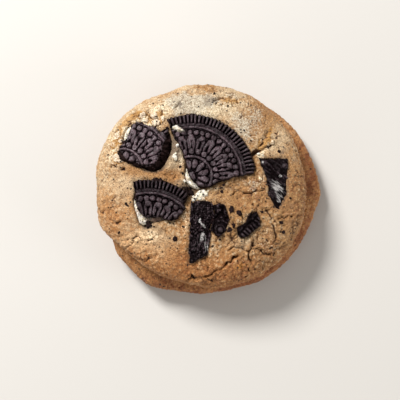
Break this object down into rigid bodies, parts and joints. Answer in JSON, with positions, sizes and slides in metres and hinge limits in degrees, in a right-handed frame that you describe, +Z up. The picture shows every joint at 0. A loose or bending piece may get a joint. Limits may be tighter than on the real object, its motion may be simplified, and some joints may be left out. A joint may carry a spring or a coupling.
{
  "type": "stuffed cookie",
  "caption": "Thick round stuffed cookie in two tiers, with broken dark sandwich biscuit pieces and white cream baked into its cracked top.",
  "frame": {"origin": "middle of the cookie's footprint on the surface that it rests on", "axes": "+Z up through the cookie's thickness, +X to the right and +Y away from the viewer as the picture shows the top"},
  "size_m": [0.0816, 0.0751, 0.0263],
  "materials": {
    "dough": "baked dough, golden crust with fine cracks",
    "dark_biscuit": "dark cocoa biscuit, dry and slightly glossy on the raised pattern",
    "cream": "white sugar cream, satin"
  },
  "bodies": {
    "root": {"dough": "dough", "wafer_quarter": "dark_biscuit", "wafer_block": "dark_biscuit", "wafer_rim": "dark_biscuit", "wafer_rim_under": "dark_biscuit", "wafer_slab_long": "dark_biscuit", "wafer_slab_round": "dark_biscuit", "wafer_wedge": "dark_biscuit", "wafer_strip": "dark_biscuit", "cream_quarter": "cream", "cream_block": "cream", "cream_rim": "cream"}
  },
  "joints": []
}
